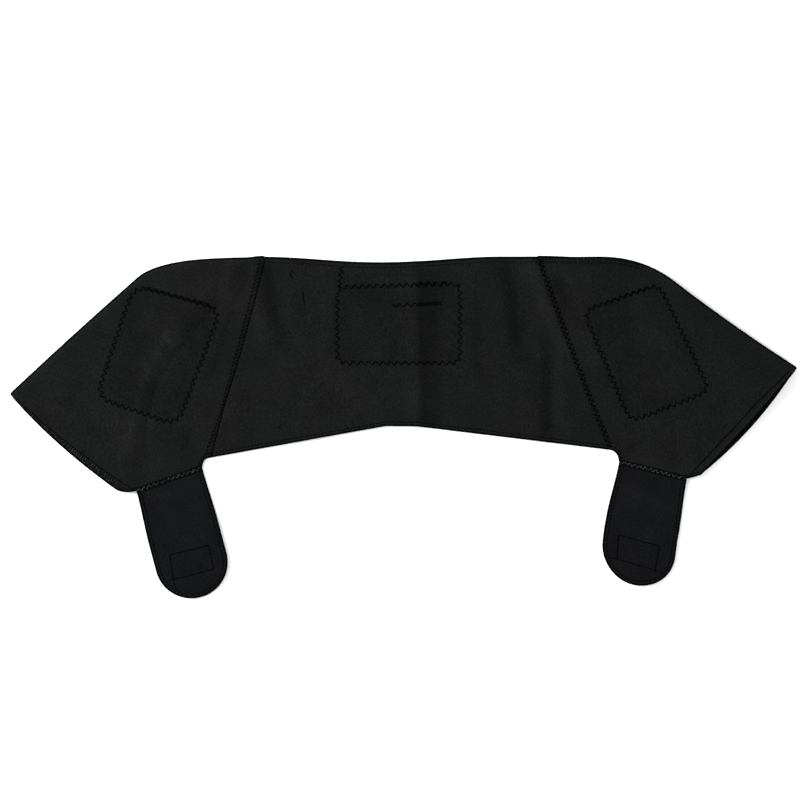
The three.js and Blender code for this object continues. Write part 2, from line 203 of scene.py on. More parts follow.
def capPlan(side, section, distance, layer):
    up = np.clip(distance / section["length"], 0, 1)
    opening = float(ease((section["share"] - changes["hemFrom"]) / changes["hem"])) * brace["underarm"]
    hem = opening * (side["hemBow"] + layer * side["peek"])
    seam = -brace["seamBow"] * (1 - float(ease(section["share"] / changes["capSeam"])))
    return (section["foot"] + section["along"] * distance[..., None]
            + section["aside"] * (hump(up) * (hem + seam))[..., None])


def outside(patch, place):
    local = np.abs(turned(place - patch["centre"], -patch["turn"]))
    return np.maximum(np.maximum(local[..., 0] - patch["width"] / 2, local[..., 1] - patch["length"] / 2), 0)


def patchLift(patch, place):
    away = ease((outside(patch, place) - brace["patchMargin"]) / brace["patchDrape"])
    return (patch["sheet"] + brace["seat"]) * (1 - away)


def capPad(side):
    return {"centre": xy(side["out"] * brace["span"] * side["padOut"], -brace["capDrop"] * side["padDrop"]),
            "turn": side["out"] * math.radians(side["padTurn"]), "width": brace["padWidth"],
            "length": brace["padLength"], "sheet": brace["padSheet"]}


def capLift(side, section, distance, place):
    straight = section["straight"]
    up = np.clip(distance / straight, 0, 1)
    gap = lerp(brace["underarmGap"], brace["sleeveGap"], ease(up))
    flapEnd = straight - section["flap"] - brace["patchMargin"]
    over = ease((distance - flapEnd + brace["drape"]) / brace["drape"])
    opened = (1 - math.cos(section["angle"])) / 2
    swell = sum(row["high"] * bell((section["share"] - row["along"]) / row["wideAlong"])
                * bell((up - row["up"]) / row["wideUp"]) for row in capSwells)
    free = ease(section["share"] / changes["swell"]) * ease((straight - distance) / brace["drape"])
    lift = opened * (brace["sheet"] + gap) * over + swell * free * ease(distance / brace["drape"])
    return np.maximum(lift, patchLift(capPad(side), place) * ease((straight - distance) / brace["foldRim"]))


# How finely the cloth is divided, in millimetres
# upper and flap: the lengths that are divided in a cap's two layers; fade: columns over which relief ends
clothSettings = {"cell": 1.9, "strapCell": 1.7, "rim": 2.4, "rimThin": 0.3, "upper": 210, "flap": 160,
                 "rollSteps": 12, "fade": 8, "seamTable": 400}
rimShares = np.array([0, 0.12, 0.3, 0.55, 1])


def steps(length, cell, startRim, endRim):
    count = max(int(round(length / cell)), 2)
    rim = min(clothSettings["rim"] / length, 0.3)
    shares = np.linspace(rim if startRim else 0, 1 - rim if endRim else 1, count + 1)
    if startRim:
        shares = np.concatenate([rimShares[:-1] * rim, shares])
    if endRim:
        shares = np.concatenate([shares, 1 - rimShares[:-1][::-1] * rim])
    return shares


def rounding(distance):
    t = np.clip(distance / clothSettings["rim"], 0, 1)
    return lerp(clothSettings["rimThin"], 1, np.sqrt(1 - (1 - t) ** 2))


def capGrids(side, cell):
    edges = capEdges(side)
    longest = edges["fold"]["length"]
    upperShares = steps(clothSettings["upper"], cell, False, False)
    flapShares = steps(clothSettings["flap"], cell * 2, False, True)[1:]
    rollShares = np.arange(1, clothSettings["rollSteps"] + 1) / clothSettings["rollSteps"]
    flapSize = len(flapShares)
    outer, inner = [], []
    for share in steps(longest, cell, False, True):
        s = capSection(side, edges, share)
        hemRound = float(rounding((1 - share) * longest))
        distance = s["straight"] * upperShares
        height = capLift(side, s, distance, capPlan(side, s, distance, 0)) + brace["sheet"] / 2
        tilt, layer = np.zeros_like(distance), np.zeros_like(distance)
        thick = np.full_like(distance, hemRound)
        bend = s["angle"] * np.arange(1, len(rollShares) + 1) / len(rollShares)
        top = foldRadius * (1 - math.cos(s["angle"])) + brace["sheet"] / 2
        turnedAt = s["straight"] + foldRadius * math.sin(s["angle"])
        distance = np.concatenate([distance, s["straight"] + foldRadius * np.sin(bend),
                                   turnedAt + s["flap"] * flapShares * math.cos(s["angle"])])
        rolled = top - foldRadius * (1 - np.cos(bend))
        height = np.concatenate([height, rolled, np.full(flapSize, brace["sheet"] / 2)])
        tilt = np.concatenate([tilt, bend, np.full(flapSize, s["angle"])])
        layer = np.concatenate([layer, rollShares, np.ones(flapSize)])
        thick = np.concatenate([thick, np.full(len(rollShares), hemRound),
                                np.minimum(hemRound, rounding(s["flap"] * (1 - flapShares)))])
        half = brace["sheet"] / 2 * thick
        for grid, sign in ((outer, 1), (inner, -1)):
            plan = capPlan(side, s, distance + sign * half * np.sin(tilt), layer)
            grid.append(np.column_stack([plan, height + sign * half * np.cos(tilt)]))
    return np.array(outer), np.array(inner), len(upperShares)


def backEdges():
    left, right = places(sides["left"]), places(sides["right"])
    clear = xy(sewnGap / 2, 0)
    peak = xy(-brace["neckWidth"] * backShape["peakOut"], -brace["backHeight"])
    bend = xy(brace["footWidth"] * backShape["bendOut"], -brace["backHeight"] * backShape["bendDown"])
    foot = makePath(np.array([left["foot"] + clear, peak, bend, right["foot"] - clear]))
    return left["head"] + clear, right["head"] - clear, foot


padMiddle = xy(-brace["neckWidth"] * backShape["padOut"], -brace["backHeight"] * backShape["padDrop"])
backPad = {"centre": padMiddle, "turn": math.pi / 2, "width": brace["padWidth"], "length": brace["padLength"],
           "sheet": brace["padSheet"]}


def foldHeight(row, share, down):
    across = (share - row["at"] - row["drift"] * down) * brace["footWidth"] / row["wide"]
    starts, ends = ease((down - row["top"]) / changes["fold"]), ease((row["foot"] - down) / changes["fold"])
    return row["high"] * bell(across) * starts * ends


def backGrids(cell):
    headLeft, headRight, foot = backEdges()
    outer, inner = [], []
    down = steps(brace["backHeight"], cell, True, True)
    for share in steps(brace["footWidth"], cell, False, False):
        dip = (share - backShape["dipAt"]) / backShape["dipWide"]
        hollow = math.cos(math.pi / 2 * min(max(dip, -1), 1))
        neck = lerp(headLeft, headRight, share) + xy(0, -brace["neckDip"] * hollow * hollow)
        end = onPath(foot, share)
        length = float(np.linalg.norm(end - neck))
        toSides = float(ease((1 - share) / changes["bow"])) - float(ease(share / changes["bow"]))
        plan = lerp(neck, end, down[:, None]) + np.outer(brace["seamBow"] * toSides * hump(down), xy(1, 0))
        free = float(ease(share / changes["sewn"]) * ease((1 - share) / changes["sewn"]))
        folds = sum(foldHeight(row, share, down) for row in backFolds)
        middle = folds * free + patchLift(backPad, plan) + brace["sheet"] / 2
        half = brace["sheet"] / 2 * rounding(np.minimum(down, 1 - down) * length)
        outer.append(np.column_stack([plan, middle + half]))
        inner.append(np.column_stack([plan, middle - half]))
    return np.array(outer), np.array(inner)


def strapLine(side):
    p = places(side)
    turn = math.radians(side["strapTurn"])
    seam = (p["corner"] - p["strap"]) / np.linalg.norm(p["corner"] - p["strap"])
    return lerp(p["corner"], p["strap"], 0.5), xy(-side["out"] * math.sin(turn), -math.cos(turn)), seam


def hookPatch(side):
    middle, down, _ = strapLine(side)
    return {"centre": middle + down * brace["strapLength"] * side["hookBack"],
            "turn": -side["out"] * math.radians(side["strapTurn"]) + math.pi / 2, "width": brace["hookWidth"],
            "length": brace["hookLength"], "sheet": brace["hookSheet"]}


def seamHeights(side, shares):
    # underside of the cap along its strap seam
    edges, p = capEdges(side), places(side)
    path = edges["lower"]
    table = np.linspace(0, 1, clothSettings["seamTable"])
    onSeam = onPath(path, table)
    way = p["corner"] - p["strap"]
    along = (onSeam - p["strap"]) @ way / (way @ way)
    order = np.argsort(along)
    heights = []
    for share in np.interp(shares, along[order], table[order]):
        s = capSection(side, edges, float(share))
        heights.append(float(capLift(side, s, np.zeros(1), s["foot"][None])[0]))
    return np.array(heights)


def strapGrids(side, cell):
    middle, down, seam = strapLine(side)
    patch = hookPatch(side)
    width = brace["strapWidth"] * side["strapWide"]
    length, radius = brace["strapLength"] * side["strapLong"], width / 2
    straight = length - radius
    across = xy(-down[1], down[0]) * -side["out"]
    acrossShares = steps(width, cell, True, True)
    sewn = seamHeights(side, acrossShares)
    turnShares = np.linspace(0, 1, int(radius * strapShape["turnSteps"] / cell) + 1)
    turns = strapShape["lastTurn"] * turnShares ** strapShape["turnSpread"]
    rows = [(lerp(sewnGap, straight, k), 0) for k in np.linspace(0, 1, int(straight / cell) + 1)]
    rows += [(straight + radius * math.sin(t), t) for t in turns[1:]]
    outer, inner = [], []
    for distance, turn in rows:
        widen = float(ease(distance / (brace["strapLength"] * strapShape["widen"])))
        half = lerp(brace["strapSeam"], width, widen) * 0.5 * math.cos(turn)
        way = lerp(seam, across, widen)
        way = way / np.linalg.norm(way)
        bend = side["out"] * width * side["tipBend"] * float(ease(2 * distance / length - 1))
        centre = middle + down * distance + xy(bend, 0)
        plan = centre + np.outer(half * (2 * acrossShares - 1), way)
        edge = half * (1 - np.abs(2 * acrossShares - 1))
        thick = rounding(edge)
        if turn > 0:
            thick = np.minimum(thick, float(rounding(radius * (1 - math.sin(turn)) * 2)))
        lift = np.maximum(sewn * (1 - float(ease(distance / brace["drape"]))), patchLift(patch, plan))
        centreHeight = lift + brace["strapSheet"] / 2
        outer.append(np.column_stack([plan, centreHeight + brace["strapSheet"] / 2 * thick]))
        inner.append(np.column_stack([plan, centreHeight - brace["strapSheet"] / 2 * thick]))
    return np.array(outer), np.array(inner)


# The origin is under the middle of the whole outline, as in the solid model.
def outlineMiddle():
    grids = [capGrids(side, 8)[0] for side in sides.values()]
    grids += [strapGrids(side, 6)[0] for side in sides.values()]
    points = np.vstack([grid.reshape(-1, 3)[:, :2] for grid in grids])
    return (points.min(0) + points.max(0)) / 2


origin = outlineMiddle()

# Stitched lines, corner by corner, in millimetres from the origin
stitching = {
    "backPad": [(-69.3, 146.7), (59.3, 150.2), (59.3, 67.0), (-69.3, 67.0)],
    "leftPad": [(-281.5, 148.5), (-191, 124), (-237, 1.5), (-321, 31)],
    "rightPad": [(188.6, 122), (266.6, 149.8), (320.5, 38), (238, 5)],
    "leftHook": [(-245.3, -134.1), (-204.2, -123.8), (-198.9, -148.9), (-241.3, -159.9)],
    "rightHook": [(225.4, -113.0), (268.7, -125.0), (263.7, -150.0), (223.8, -138.1)],
    "leftHookEnds": [((-237.5, -159), (-248.3, -160.7)), ((-241.3, -159.9), (-238, -171))],
    "rightHookEnds": [((223.8, -138.1), (219, -137)), ((263.7, -150.0), (265, -153.5))],
    "nick": [(-115.5, 164.5), (-118.5, 162), (-118.8, 158.5), (-116, 156.5)],
    "looseThread": [(-105.4, 142), (-104.2, 129.5)],
    "overlockEnd": 254,
    "backRuns": {
        "backPadAgain": [(13, 150.2), (46, 150.9)], "backPadTail": [(-64.6, 169), (-67.4, 147)],
        "backPadMiddle": [(-12.1, 127.1), (40, 129.8)], "backPadMiddleAgain": [(13, 128.6), (40, 129.9)],
    },
    "padAgain": (0.12, 0.86),  # share of a side pad's upper edge that is sewn twice
    "padRound": {"backPad": 8, "leftPad": 17, "rightPad": 13},
    "hookRound": 1.5,
    "thread": 0.56,  # radius; real thread is half as thick and would not show
    "nickThick": 0.9,
    "looseThick": 0.8,
    "lowest": 0.02,  # thread stays this far above the floor
}


def roundedLoop(corners, radius):
    points = []
    corners = [np.array(c, float) for c in corners]
    for k, corner in enumerate(corners):
        back, ahead = corners[k - 1] - corner, corners[(k + 1) % len(corners)] - corner
        a = corner + back / np.linalg.norm(back) * radius
        b = corner + ahead / np.linalg.norm(ahead) * radius
        points.append(bezier(a, corner, b, 8))
    return makePath(*points, np.vstack([points[-1][-1:], points[0][:1]]))


def openLine(*corners):
    return makePath(np.array(corners, float))


def spaced(path, step):
    count = max(int(round(path["length"] / step)), 1)
    shares = np.linspace(0, 1, count + 1)
    points = onPath(path, shares)
    near = 0.25 / count
    ahead = onPath(path, np.clip(shares + near, 0, 1)) - onPath(path, np.clip(shares - near, 0, 1))
    tangent = ahead / np.linalg.norm(ahead, axis=1)[:, None]
    return points, tangent, np.stack([-tangent[:, 1], tangent[:, 0]], 1)


def distanceTo(path, plan):
    points = path["points"]
    best = np.full(len(plan), 1e9)
    for a, b in zip(points[:-1], points[1:]):
        ab = b - a
        size = ab @ ab
        if size < 1e-9:
            continue
        t = np.clip((plan - a) @ ab / size, 0, 1)
        best = np.minimum(best, np.linalg.norm(plan - (a + t[:, None] * ab), axis=1))
    return best


# Relief that the solids are too coarse for, in millimetres
# Each row: where it runs, half its width and its height, negative for a hollow
relief = [
    ([(15.0, 160), (15.6, 4)], 5, 1.1),
    ([(31.0, 172), (32.0, 4)], 11, -0.9),
    ([(-153, 165), (-143, 92)], 7, 1.2),
    ([(-138, 172), (-121, 94)], 8, -1.4),
    ([(112, 172), (122, 96)], 9, -1.5),
    ([(133, 174), (172, 78)], 7, 1.5),
    ([(143, 92), (143, -6)], 5, 1.1),
    ([(155, 88), (156, -6)], 4, -1.2),
    ([(162, 172), (186, 112)], 9, -1.3),
    ([(-263, 112), (-250, 62)], 16, 0.9),
    ([(-246, 97), (-238, 84)], 4, 1.0),
    ([(-259, 79), (-248, 70)], 4, 0.9),
    ([(-222, 100), (-214, 74)], 6, -0.8),
    ([(262, 96), (284, 62)], 16, 0.9),
    ([(258, 62), (276, 48)], 5, 0.7),
    ([(-266, -73), (-250, -66)], 3.5, 0.9),
    ([(240, -70), (262, -80)], 5, 0.6),
    ([(-60, 40), (-20, 30)], 12, 0.8),
    ([(-170, 20), (-120, 34)], 12, 0.8),
]
grooves = {"pad": (1.6, -0.5), "seam": (2.6, -0.7), "hook": (1.2, -0.35)}


def reliefAt(plan, lines):
    height = np.zeros(len(plan))
    for line, wide, high in relief:
        height += high * bell(distanceTo(openLine(*line), plan) / wide)
    for path, kind in lines:
        wide, high = grooves[kind]
        height += high * bell(distanceTo(path, plan) / wide)
    return height


# Painted light and shade: lighter bands are painted highlights along ridges and swellings, darker bands are
# painted shade in creases and hollows
# Each row: where it runs, half its width and how much is added to the scale of the colour
paintedLightBands = [
    ([(-205, 133), (-238, 95)], 10, 0.32),
    ([(-242, 90), (-262, 58)], 11, 0.36),
    ([(-266, 50), (-286, -20)], 11, 0.26),
    ([(-175, 172), (-179, 142)], 14, 0.42),
    ([(28, 176), (29, 2)], 12, -0.24),
    ([(6, 176), (7, 2)], 12, 0.08),
    ([(-147, 166), (-129, 90)], 8, -0.34),
    ([(-162, 150), (-152, 96)], 5, 0.2),
    ([(106, 162), (116, 98)], 10, -0.3),
    ([(132, 165), (168, 84)], 8, 0.36),
    ([(160, 152), (170, 128)], 8, -0.3),
    ([(148, 84), (150, 0)], 7, -0.22),
    ([(163, 70), (165, 4)], 5, 0.14),
    ([(-250, 110), (-236, 62)], 18, 0.12),
    ([(-247, 93), (-243, 87)], 3.5, 0.45),
    ([(-257, 75), (-250, 68)], 4, 0.4),
    ([(-232, 98), (-224, 84)], 6, -0.2),
    ([(258, 90), (276, 56)], 16, 0.12),
    ([(-330, 55), (-300, 10)], 22, 0.1),
    ([(236, -66), (262, -82)], 10, 0.22),
    ([(-264, -74), (-248, -70)], 4, 0.3),
    ([(-60, 40), (60, 30)], 16, 0.08),
]
# outline: width of the painted shade along a free edge, where the rim turns away; fold: how far inside it a
# painted highlight runs
# pad: what is added inside a pad's loop; under: the scale of painted shade on the layer that is folded under
edgeTone = {"outline": 1.3, "outlineShade": -0.9, "fold": 3.0, "foldWide": 1.3, "foldHighlight": 0.2, "pad": -0.12,
            "under": 0.35, "every": 6}


def insideLoop(path, plan):
    points = path["points"]
    count = np.zeros(len(plan), int)
    for (ax, ay), (bx, by) in zip(points[:-1], points[1:]):
        if ay == by:
            continue
        at = (plan[:, 1] - ay) / (by - ay)
        count += ((ay > plan[:, 1]) != (by > plan[:, 1])) & (plan[:, 0] < ax + at * (bx - ax))
    return count % 2 == 1


# Scale of a piece's colour at each point: the painted light and shade bands, painted shade along free edges
# with a painted highlight inside it, and a darker pad loop
def paintedLightAndToneAt(plan, edges, padLoop):
    tone = np.ones(len(plan))
    for line, wide, change in paintedLightBands:
        tone += change * bell(distanceTo(openLine(*line), plan) / wide)
    near = np.min([distanceTo(thinned(path), plan) for path in edges], axis=0)
    e = edgeTone
    if padLoop is not None:
        tone += e["pad"] * insideLoop(padLoop, plan)
    # painted highlight a little inside each free edge, and painted shade right along it
    tone += e["foldHighlight"] * bell((near - e["fold"]) / e["foldWide"])
    return tone * (1 + e["outlineShade"] * bell(near / e["outline"]))


def thinned(path):
    return makePath(onPath(path, np.linspace(0, 1, max(int(path["length"] / edgeTone["every"]), 2))))


print("sizes and paths are ready")


# Materials
def linear(hexColour):
    parts = [int(hexColour[k:k + 2], 16) / 255 for k in (1, 3, 5)]
    return (*[c / 12.92 if c <= 0.04045 else ((c + 0.055) / 1.055) ** 2.4 for c in parts], 1)


def addNode(tree, kind, settings=None, links=None):
    # one node with its settings and what feeds its sockets
    node = tree.nodes.new(kind)
    for name, value in (settings or {}).items():
        if isinstance(name, str) and hasattr(node, name):
            setattr(node, name, value)
        else:
            node.inputs[name].default_value = value
    for socket, source in (links or {}).items():
        tree.links.new(source, node.inputs[socket])
    return node


def newMaterial(name):
    material = bpy.data.materials.new(name)
    material.use_nodes = True
    tree = material.node_tree
    tree.nodes.clear()
    shader = tree.nodes.new("ShaderNodeBsdfPrincipled")
    output = tree.nodes.new("ShaderNodeOutputMaterial")
    tree.links.new(shader.outputs["BSDF"], output.inputs["Surface"])
    place = tree.nodes.new("ShaderNodeTexCoord").outputs["Object"]
    return material, tree, shader, place


def mixed(tree, share, dark, light):
    # share is a number or a socket, dark and light are colours or sockets
    node = addNode(tree, "ShaderNodeMix", {"data_type": "RGBA"})
    if isinstance(share, float):
        node.inputs["Factor"].default_value = share
    else:
        tree.links.new(share, node.inputs["Factor"])
    for socket, value in (("A", dark), ("B", light)):
        target = [i for i in node.inputs if i.name == socket and i.type == "RGBA"][0]
        if isinstance(value, str):
            target.default_value = linear(value)
        else:
            tree.links.new(value, target)
    return [o for o in node.outputs if o.type == "RGBA"][0]


def rampOf(tree, source, low, high, start=0, end=1):
    ends = {"From Min": low, "From Max": high, "To Min": start, "To Max": end}
    return addNode(tree, "ShaderNodeMapRange", ends, {"Value": source}).outputs["Result"]


def noiseOf(tree, place, size, detail, roughness=0.5):
    # size: millimetres from one grain to the next
    settings = {"Scale": 1000 / size, "Detail": detail, "Roughness": roughness}
    return addNode(tree, "ShaderNodeTexNoise", settings, {"Vector": place}).outputs["Fac"]


def mathOf(tree, operation, first, second):
    settings, links = {"operation": operation}, {0: first}
    if isinstance(second, float):
        settings[1] = second
    else:
        links[1] = second
    return addNode(tree, "ShaderNodeMath", settings, links).outputs["Value"]


def surface(tree, shader, colour, s, height=None):
    # height: the socket that the relief follows, for s["high"] metres
    tree.links.new(colour, shader.inputs["Base Color"])
    shader.inputs["Roughness"].default_value = s["rough"]
    if "specular" in s:
        shader.inputs["Specular IOR Level"].default_value = s["specular"]
    if height is not None:
        depth = {"Strength": s["bump"], "Distance": s["high"]}
        bump = addNode(tree, "ShaderNodeBump", depth, {"Height": height})
        tree.links.new(bump.outputs["Normal"], shader.inputs["Normal"])


# Neoprene foam faced with knitted nylon jersey: matt black, with fine wales that catch a little light.
# The knit is 0.5 mm in the real cloth and is drawn three times as coarse, so that it shows.
jerseySettings = {"dark": "#030404", "light": "#1a1b1b", "warm": "#110f11", "cool": "#0d100f", "cast": 0.45,
                  "wale": 1.5, "waleStretch": (1.0, 0.6, 1.0), "cloud": 80, "blotch": 30, "uneven": 0.13,
                  "cloudRange": (0.35, 0.65), "speckRange": (0.3, 0.7), "waleRange": (0.35, 0.65),
                  "blotchRange": (0.32, 0.68), "rough": 0.92, "specular": 0.02, "ior": 1.45, "bump": 0.6,
                  "high": 0.0005}
# The straps are a smoother loop jersey on thinner foam, a shade darker.
strapSettings = {**jerseySettings, "dark": "#030303", "light": "#141516", "warm": "#0d0c0e",
                 "cool": "#0a0d0d", "wale": 1.2}


def knittedJersey(name, s):
    material, tree, shader, place = newMaterial(name)
    cloud = rampOf(tree, noiseOf(tree, place, s["cloud"], 2), *s["cloudRange"])
    tone = mixed(tree, cloud, s["cool"], s["warm"])
    speck = rampOf(tree, noiseOf(tree, place, s["wale"], 3, 0.65), *s["speckRange"])
    stretched = addNode(tree, "ShaderNodeMapping", {"Scale": s["waleStretch"]}, {"Vector": place})
    wale = rampOf(tree, noiseOf(tree, stretched.outputs["Vector"], s["wale"], 1), *s["waleRange"])
    knit = mathOf(tree, "MULTIPLY", mathOf(tree, "ADD", speck, wale), 0.5)
    blend = mixed(tree, s["cast"], mixed(tree, knit, s["dark"], s["light"]), tone)
    blotch = noiseOf(tree, place, s["blotch"], 3, 0.55)
    worn = rampOf(tree, blotch, *s["blotchRange"], 1 - s["uneven"], 1 + s["uneven"])
    # the colour is scaled by the painted light and shade kept on the mesh, and by random blotches
    paintedLightAttribute = addNode(tree, "ShaderNodeAttribute", {"attribute_name": "paintedLightAndTone"})
    paintedLightAndTone = mathOf(tree, "MULTIPLY", paintedLightAttribute.outputs["Fac"], worn)
    shaded = addNode(tree, "ShaderNodeVectorMath", {"operation": "SCALE"}, {0: blend, "Scale": paintedLightAndTone})
    surface(tree, shader, shaded.outputs["Vector"], s, knit)
    shader.inputs["IOR"].default_value = s["ior"]
    return material


panelJersey = knittedJersey("black knitted jersey on neoprene", jerseySettings)
strapJersey = knittedJersey("black brushed loop jersey", strapSettings)

# Bonded polyester sewing thread, near black and matt
threadSettings = {"twist": 2.5, "twistRange": (0.4, 0.7), "rough": 0.8, "specular": 0.01}


def sewingThread(name, dark, light, s):
    material, tree, shader, place = newMaterial(name)
    twist = rampOf(tree, noiseOf(tree, place, s["twist"], 1), *s["twistRange"])
    surface(tree, shader, mixed(tree, twist, dark, light), s)
    return material


# the black thread is drawn darker than the cloth: partly its own black, partly painted shade for the grooves
# its stitches press into the foam
darkThread = sewingThread("black polyester thread", "#010101", "#040405", threadSettings)
# the cover thread mixes its own near black with a grey that is painted sheen
coverThread = sewingThread("black cover thread with painted sheen", "#0e0f0f", "#3f4341", threadSettings)


# Meshes
def linkPiece(name, mesh, material):
    mesh.materials.append(material)
    piece = bpy.data.objects.new(name, mesh)
    bpy.context.scene.collection.objects.link(piece)
    return piece


def clothPiece(name, outer, inner, material, tone):
    rows, columns = outer.shape[:2]
    count = rows * columns
    points = np.vstack([outer.reshape(-1, 3), inner.reshape(-1, 3)])
    points[:, :2] -= origin
    points[:, 2] = np.maximum(points[:, 2], 0)
    at = np.arange(count).reshape(rows, columns)
    a, b, c, d = at[:-1, :-1], at[:-1, 1:], at[1:, 1:], at[1:, :-1]
    faces = [np.stack([a, b, c, d], -1).reshape(-1, 4), np.stack([a, d, c, b], -1).reshape(-1, 4) + count]
    for line, flip in ((at[0], 1), (at[-1], 0), (at[:, 0], 0), (at[:, -1], 1)):
        p, q = line[:-1], line[1:]
        wall = np.stack([p, p + count, q + count, q], -1)
        faces.append(wall[:, ::-1] if flip else wall)
    faces = np.vstack(faces)
    first, second, third, fourth = (points[faces[:, k]] for k in range(4))
    if (first * (np.cross(second, third) + np.cross(third, fourth))).sum() < 0:
        # the faces look inwards, so they are turned round
        faces = faces[:, ::-1]
    mesh = bpy.data.meshes.new(name)
    mesh.from_pydata((points * mm).tolist(), [], faces.tolist())
    mesh.polygons.foreach_set("use_smooth", np.ones(len(faces), bool))
    # painted light and shade, with the darker pad loops, kept on each point
    mesh.attributes.new("paintedLightAndTone", "FLOAT", "POINT").data.foreach_set("value", np.concatenate([tone, tone]))
    mesh.update()
    return linkPiece(name, mesh, material)


def boundaryPath(grid):
    return makePath(grid[:, :2] - origin)


padLoops = {key: roundedLoop(stitching[key], rounded) for key, rounded in stitching["padRound"].items()}
hookLoops = {key: roundedLoop(stitching[key], stitching["hookRound"]) for key in ("leftHook", "rightHook")}
pieces = {}
edgesOf = {}

outer, inner = backGrids(clothSettings["cell"])
seamPaths = {"left": boundaryPath(outer[0]), "right": boundaryPath(outer[-1])}
plan = outer.reshape(-1, 3)[:, :2] - origin
lines = [(padLoops["backPad"], "pad"), (seamPaths["left"], "seam"), (seamPaths["right"], "seam")]
outer[..., 2] += reliefAt(plan, lines).reshape(outer.shape[:2])
edgesOf["neck"], edgesOf["backFoot"] = boundaryPath(outer[:, 0]), boundaryPath(outer[:, -1])
tone = paintedLightAndToneAt(plan, [edgesOf["neck"], edgesOf["backFoot"]], padLoops["backPad"])
pieces["back_panel"] = clothPiece("back_panel_cloth", outer, inner, panelJersey, tone)
print("back panel", outer.shape)

for key, side in sides.items():
    outer, inner, upperCount = capGrids(side, clothSettings["cell"])
    top = outer[:, :upperCount]
    plan = top.reshape(-1, 3)[:, :2] - origin
    p = places(side)
    strapSeam = makePath(np.array([p["corner"], p["strap"]]) - origin)
    height = reliefAt(plan, [(padLoops[key + "Pad"], "pad"), (seamPaths[key], "seam"), (strapSeam, "seam")])
    fade = np.ones(top.shape[:2])
    fade[:, -clothSettings["fade"]:] = np.linspace(1, 0, clothSettings["fade"])
    outer[:, :upperCount, 2] += height.reshape(fade.shape) * fade
    edgesOf[key + "Strap seam"] = strapSeam
    edgesOf[key + "Hem"] = boundaryPath(outer[-1, :upperCount])
    edgesOf[key + "Lower"] = boundaryPath(outer[:, 0])
    farthest = np.linalg.norm(outer[..., :2] - outer[:, :1, :2], axis=2).argmax(1)
    edgesOf[key + "Fold"] = boundaryPath(outer[np.arange(len(outer)), farthest])
    lower = edgesOf[key + "Lower"]["points"]
    fromCorner, fromStrap = [np.linalg.norm(lower - end, axis=1).argmin() for end in strapSeam["points"]]
    free = [makePath(lower[fromCorner::-1]), makePath(lower[fromStrap:])]
    edgesOf[key + "Fillet"], edgesOf[key + "Nose"] = free
    plan = outer.reshape(-1, 3)[:, :2] - origin
    tone = paintedLightAndToneAt(plan, [edgesOf[key + "Hem"], edgesOf[key + "Fold"], *free], padLoops[key + "Pad"])
    # painted shade on the cap's layer that is folded under
    tone.reshape(outer.shape[:2])[:, upperCount + clothSettings["fade"]:] *= edgeTone["under"]
    pieces[key + "_shoulder_cap"] = clothPiece(key + "_cap_cloth", outer, inner, panelJersey, tone)
    outer, inner = strapGrids(side, clothSettings["strapCell"])
    plan = outer.reshape(-1, 3)[:, :2] - origin
    height = reliefAt(plan, [(hookLoops[key + "Hook"], "hook"), (strapSeam, "seam")])
    outer[..., 2] += height.reshape(outer.shape[:2])
    loop = np.vstack([outer[:, 0], outer[-1, 1:], outer[::-1, -1][1:]])
    edgesOf[key + "Strap"] = boundaryPath(loop)
    tone = paintedLightAndToneAt(plan, [edgesOf[key + "Strap"]], None)
    pieces[key + "_strap"] = clothPiece(key + "_strap_cloth", outer, inner, strapJersey, tone)
    print(key, "cap and strap")


# Hook tape: woven nylon with rows of stiff hooks, so it looks ribbed and a little glossy.
hookTapeSettings = {"dark": "#0a0a0b", "light": "#1b1b1c", "ribs": 300, "wander": 1.5, "rough": 0.5,
                    "bump": 0.6, "high": 0.0008}


def hookTapeMaterial(s):
    material, tree, shader, place = newMaterial("woven nylon hook tape")
    ribs = addNode(tree, "ShaderNodeTexWave", {"Scale": s["ribs"], "Distortion": s["wander"], "Detail": 1},
                   {"Vector": place}).outputs["Fac"]
    surface(tree, shader, mixed(tree, ribs, s["dark"], s["light"]), s, ribs)
    return material


# Pad cloth: a plain weave with a warm grey cast. Its threads are drawn 1.6 mm apart so that they show.
padClothSettings = {"dark": "#221f1d", "light": "#3a3632", "weave": 620, "fuzz": 2, "rough": 0.95,
                    "bump": 0.4, "high": 0.0005}


def padClothMaterial(s):
    material, tree, shader, place = newMaterial("plain woven pad cloth")
    weave = addNode(tree, "ShaderNodeTexChecker", {"Scale": s["weave"]}, {"Vector": place})
    threads = mathOf(tree, "MULTIPLY", weave.outputs["Fac"], noiseOf(tree, place, s["fuzz"], 2))
    surface(tree, shader, mixed(tree, threads, s["dark"], s["light"]), s, threads)
    return material


patchEdge = 0.0004  # width of the bevel on pads and patches, in metres


def patchPiece(name, node, material):
    # the patch's solid with its edges softened
    piece = linkPiece(name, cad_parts[node].data.copy(), material)
    piece.data.materials.clear()
    piece.data.materials.append(material)
    bevel = piece.modifiers.new("soft edge", "BEVEL")
    bevel.width, bevel.segments, bevel.limit_method = patchEdge, 2, "ANGLE"
    return piece


hookTape, padCloth = hookTapeMaterial(hookTapeSettings), padClothMaterial(padClothSettings)
for node in ("back_pad", "left_shoulder_pad", "right_shoulder_pad"):
    pieces[node] = patchPiece(node + "_cloth", node, padCloth)
for node in ("left_hook_patch", "right_hook_patch"):
    pieces[node] = patchPiece(node + "_tape", node, hookTape)
print("pads and hook patches")


# Stitches: short tubes of thread that lie on the cloth
bpy.context.view_layer.update()
trees = [BVHTree.FromObject(pieces[n], bpy.context.evaluated_depsgraph_get())
         for n in ("back_panel", "left_shoulder_cap", "right_shoulder_cap", "left_strap", "right_strap")]


def clothTop(x, y):
    # height of the cloth in millimetres, or None beside it
    best = None
    for tree in trees:
        hit = tree.ray_cast((x * mm, y * mm, 0.1), (0, 0, -1))[0]
        if hit is not None and (best is None or hit.z > best):
            best = hit.z
    return None if best is None else best / mm


